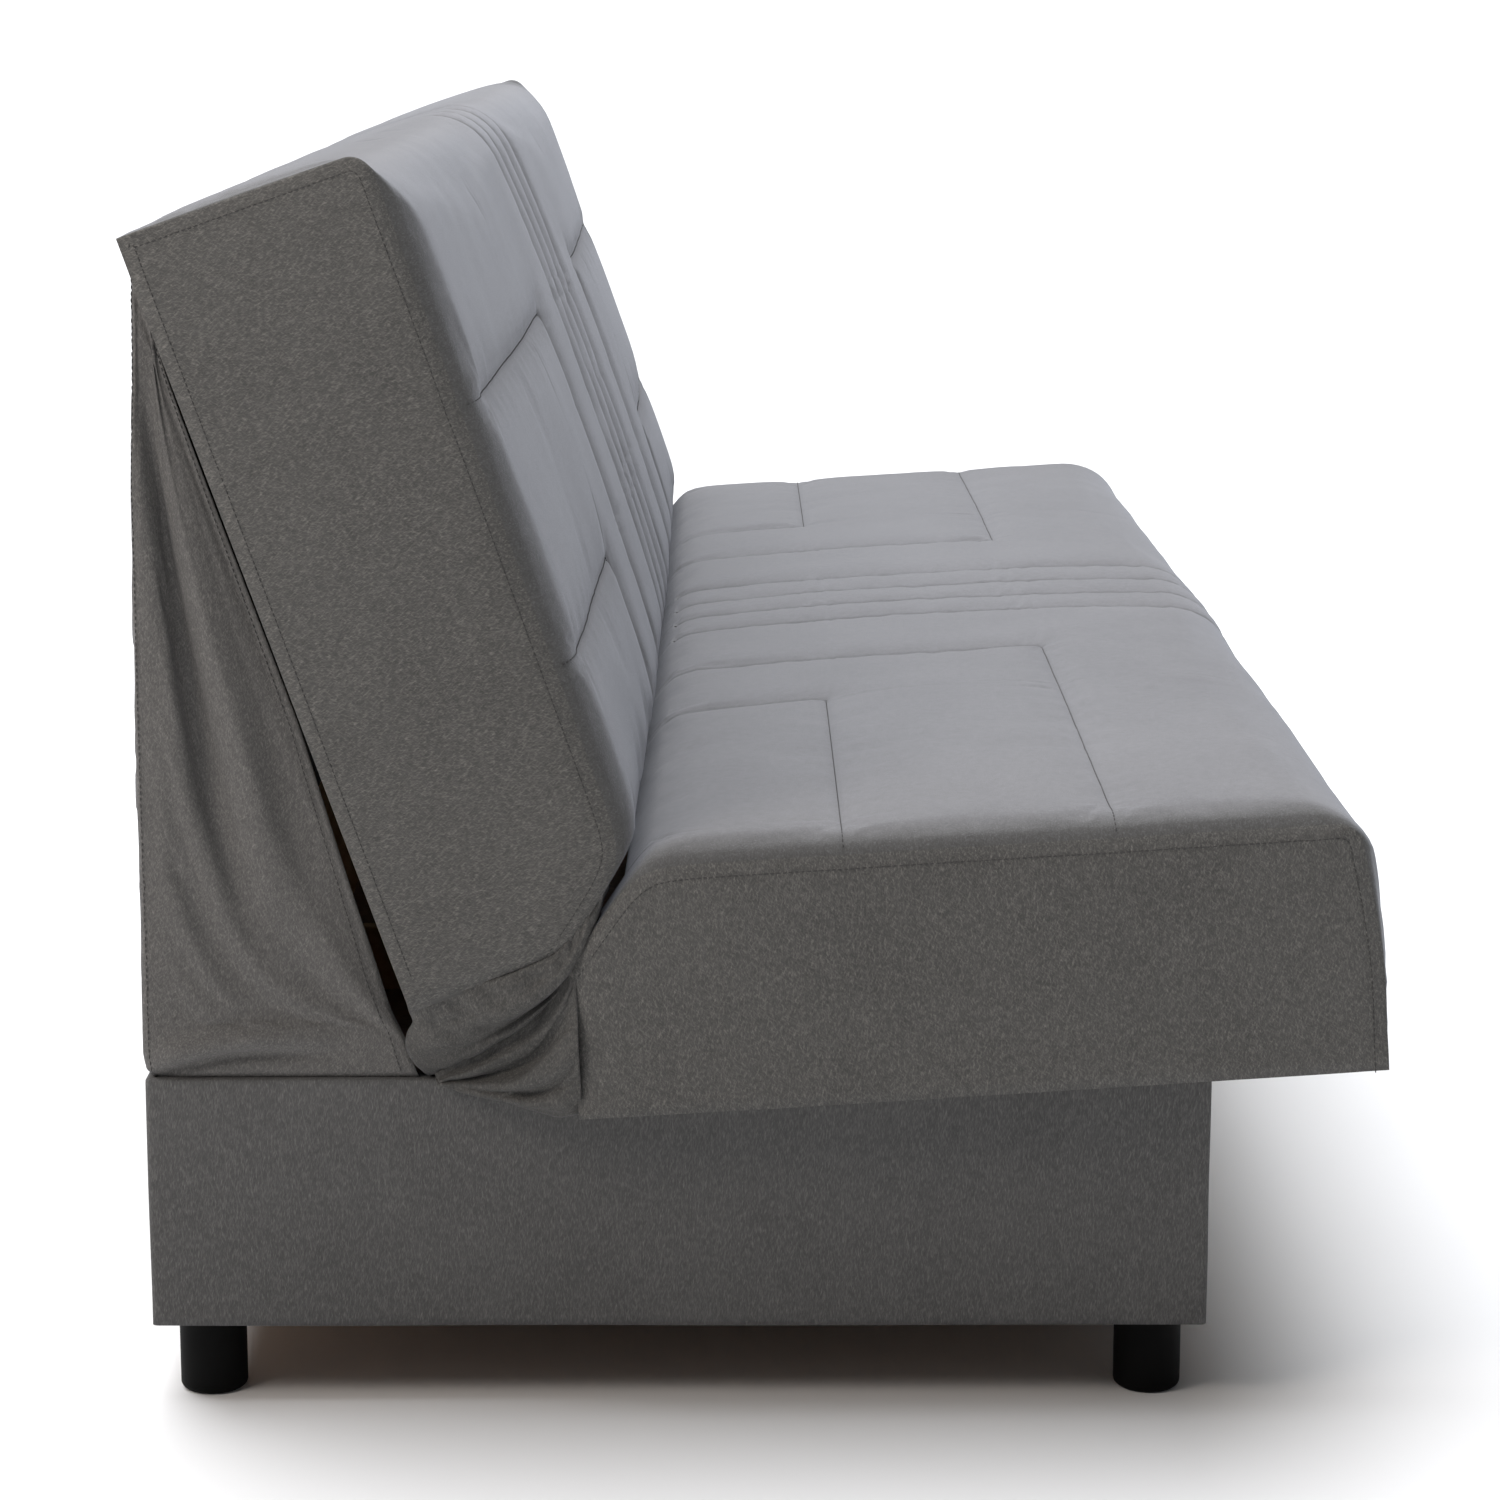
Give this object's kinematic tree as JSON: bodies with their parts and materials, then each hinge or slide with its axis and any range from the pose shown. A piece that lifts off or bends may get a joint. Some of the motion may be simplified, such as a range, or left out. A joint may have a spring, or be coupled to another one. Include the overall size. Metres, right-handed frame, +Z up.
{
  "type": "sofa bed",
  "caption": "Armless click-clack sofa bed: quilted seat and back halves that turn on ratchet hubs over a fabric-covered storage box on short round feet.",
  "frame": {"origin": "centre of the footprint on the floor, under the middle of the bounding box", "axes": "+X along the sofa, -Y towards the sitter, +Z up"},
  "size_m": [1.9, 0.866, 0.8789],
  "materials": {
    "cushion_fabric": "suede-look microfibre, quilted",
    "side_fabric": "suede-look microfibre",
    "box_fabric": "suede-look microfibre",
    "curtain_fabric": "suede-look microfibre",
    "felt": "pressed felt",
    "black_plastic": "moulded polypropylene",
    "birch_slat": "birch plywood",
    "hardboard": "hardboard",
    "pine": "planed pine",
    "painted_steel": "black powder coat",
    "zinc_steel": "zinc plated"
  },
  "bodies": {
    "base": {"box_front_panel": "pine", "box_rear_panel": "pine", "box_end_panels": "pine", "box_bottom": "hardboard", "box_corner_blocks": "pine", "box_divider": "pine", "box_skin": "box_fabric", "rest_pads": "felt", "feet": "black_plastic", "foot_bolts": "zinc_steel", "rear_curtain": "curtain_fabric", "hub_brackets": "painted_steel", "hub_bracket_bolts": "zinc_steel", "hub_pins": "zinc_steel", "hub_washers": "zinc_steel", "pawl_pins": "zinc_steel"},
    "seat": {"seat_cushion": "cushion_fabric", "seat_corner_roll": "cushion_fabric", "seat_skirt": "side_fabric", "seat_end_rails": "pine", "seat_inner_rail": "pine", "seat_outer_rail": "pine", "seat_slats": "birch_slat", "seat_slat_holders": "black_plastic", "seat_arm_blocks": "pine", "seat_arms": "painted_steel", "seat_arm_bolts": "zinc_steel", "seat_corner_brackets": "zinc_steel", "seat_rest_batten": "pine", "seat_gussets": "curtain_fabric"},
    "back": {"back_cushion": "cushion_fabric", "back_corner_roll": "cushion_fabric", "back_skirt": "side_fabric", "back_end_rails": "pine", "back_inner_rail": "pine", "back_outer_rail": "pine", "back_slats": "birch_slat", "back_slat_holders": "black_plastic", "back_arm_blocks": "pine", "back_arms": "painted_steel", "back_arm_bolts": "zinc_steel", "back_corner_brackets": "zinc_steel", "back_rest_batten": "pine", "back_gussets": "curtain_fabric"},
    "pawl_left": {"pawl_left": "painted_steel"},
    "pawl_right": {"pawl_right": "painted_steel"}
  },
  "joints": [
    {"name": "seat_lift", "type": "hinge", "parent": "base", "child": "seat", "pos_m": [0, 0.13873, 0.328], "axis": [-1, 0, 0], "range_deg": [-3.6, 25], "deforming": ["seat_corner_roll", "seat_gussets"]},
    {"name": "back_recline", "type": "hinge", "parent": "base", "child": "back", "pos_m": [0, 0.13873, 0.328], "axis": [-1, 0, 0], "range_deg": [0, 70.7], "deforming": ["back_corner_roll", "back_gussets", "rear_curtain"]},
    {"name": "pawl_left_release", "type": "hinge", "parent": "base", "child": "pawl_left", "pos_m": [-0.887, 0.10473, 0.266], "axis": [-1, 0, 0], "range_deg": [0, 12]},
    {"name": "pawl_right_release", "type": "hinge", "parent": "base", "child": "pawl_right", "pos_m": [0.887, 0.10473, 0.266], "axis": [-1, 0, 0], "range_deg": [0, 12]}
  ]
}
